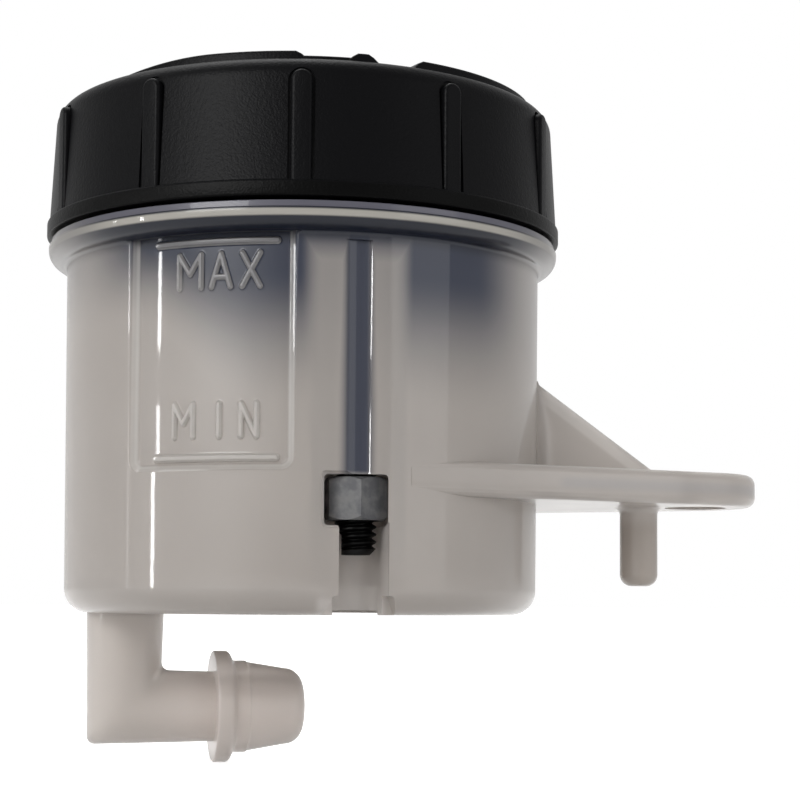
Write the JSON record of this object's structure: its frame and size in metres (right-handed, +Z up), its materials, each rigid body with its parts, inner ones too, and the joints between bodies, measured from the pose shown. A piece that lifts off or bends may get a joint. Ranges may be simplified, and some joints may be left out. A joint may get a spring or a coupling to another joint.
{
  "type": "brake fluid reservoir",
  "caption": "Translucent round brake fluid cup with a black ribbed screw cap, a side bracket with bolt hole and pin, and an elbow hose outlet.",
  "frame": {"origin": "centre of the bracket's bolt hole, on the underside of the bracket plate", "axes": "+Z up along the cup's axis, +X from the cup out along the bracket, -Y towards the front with the level window"},
  "size_m": [0.0738, 0.053, 0.0675],
  "materials": {
    "milky_plastic": "translucent milky polypropylene, satin-gloss as moulded",
    "black_plastic": "fine leather-grained black, satin",
    "white_acetal": "plain white, smooth",
    "black_rubber": "matt black moulded rubber",
    "black_steel": "black oxide, lightly oiled",
    "zinc_steel": "zinc plated, dull bright"
  },
  "bodies": {
    "reservoir": {"reservoir_body": "milky_plastic", "diaphragm": "black_rubber", "lock_screw": "black_steel", "lock_nut": "zinc_steel"},
    "lift_ring": {"slip_ring": "white_acetal"},
    "cap": {"cap": "black_plastic"}
  },
  "joints": [
    {"name": "cap_lift", "type": "slide", "parent": "reservoir", "child": "lift_ring", "axis": [0, 0, 1], "range_m": [0, 0.00505]},
    {"name": "cap_turn", "type": "hinge", "parent": "lift_ring", "child": "cap", "pos_m": [-0.0412, 0, 0.03], "axis": [0, 0, 1], "range_deg": [0, 600]}
  ],
  "couplings": [
    {"joint": "cap_lift", "follows": "cap_turn", "m_per_rad": 0.00047746}
  ]
}
